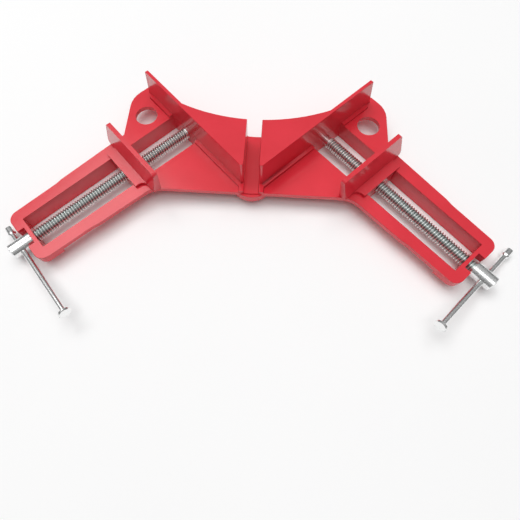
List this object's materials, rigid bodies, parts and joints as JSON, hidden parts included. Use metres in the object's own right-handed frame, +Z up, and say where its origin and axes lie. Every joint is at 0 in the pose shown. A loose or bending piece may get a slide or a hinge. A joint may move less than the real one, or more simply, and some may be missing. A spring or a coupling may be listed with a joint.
{
  "type": "corner clamp",
  "caption": "Right-angle corner clamp: a cast base with fences at ninety degrees, and screw-driven jaws with sliding handle bars that press workpieces against them.",
  "frame": {"origin": "on the bench plane, straight below the work corner where the planes of the two fences meet", "axes": "+X to the right arm, +Y from the work corner to the rear curve, +Z up from the bench"},
  "size_m": [0.3166, 0.1687, 0.0334],
  "materials": {
    "casting": "glossy red paint on a die casting",
    "plated_steel": "bright zinc plate",
    "spring_steel": "dark phosphate"
  },
  "bodies": {
    "body": {"body": "casting"},
    "left_jaw": {"left_jaw": "casting"},
    "left_screw": {"left_screw": "plated_steel", "left_thrust_washer": "plated_steel", "left_retaining_clip": "spring_steel"},
    "left_t_bar": {"left_t_bar": "plated_steel"},
    "right_jaw": {"right_jaw": "casting"},
    "right_screw": {"right_screw": "plated_steel", "right_thrust_washer": "plated_steel", "right_retaining_clip": "spring_steel"},
    "right_t_bar": {"right_t_bar": "plated_steel"}
  },
  "joints": [
    {"name": "left_screw_turn", "type": "hinge", "parent": "body", "child": "left_screw", "pos_m": [-0.04808, 0.04808, 0.0076], "axis": [-0.7071, -0.7071, 0], "range_deg": [-13428, 7596]},
    {"name": "left_jaw_slide", "type": "slide", "parent": "body", "child": "left_jaw", "axis": [-0.7071, -0.7071, 0], "range_m": [-0.037, 0.0654]},
    {"name": "left_bar_slide", "type": "slide", "parent": "left_screw", "child": "left_t_bar", "axis": [0.7018, -0.7018, 0.1219], "range_m": [-0.052, 0.0058]},
    {"name": "right_screw_turn", "type": "hinge", "parent": "body", "child": "right_screw", "pos_m": [0.04808, 0.04808, 0.0076], "axis": [0.7071, -0.7071, 0], "range_deg": [-13968, 7092]},
    {"name": "right_jaw_slide", "type": "slide", "parent": "body", "child": "right_jaw", "axis": [0.7071, -0.7071, 0], "range_m": [-0.0345, 0.0679]},
    {"name": "right_bar_slide", "type": "slide", "parent": "right_screw", "child": "right_t_bar", "axis": [-0.6974, -0.6974, 0.165], "range_m": [-0.0405, 0.0173]}
  ],
  "couplings": [
    {"joint": "left_jaw_slide", "follows": "left_screw_turn", "m_per_rad": -0.00027852},
    {"joint": "right_jaw_slide", "follows": "right_screw_turn", "m_per_rad": -0.00027852}
  ]
}
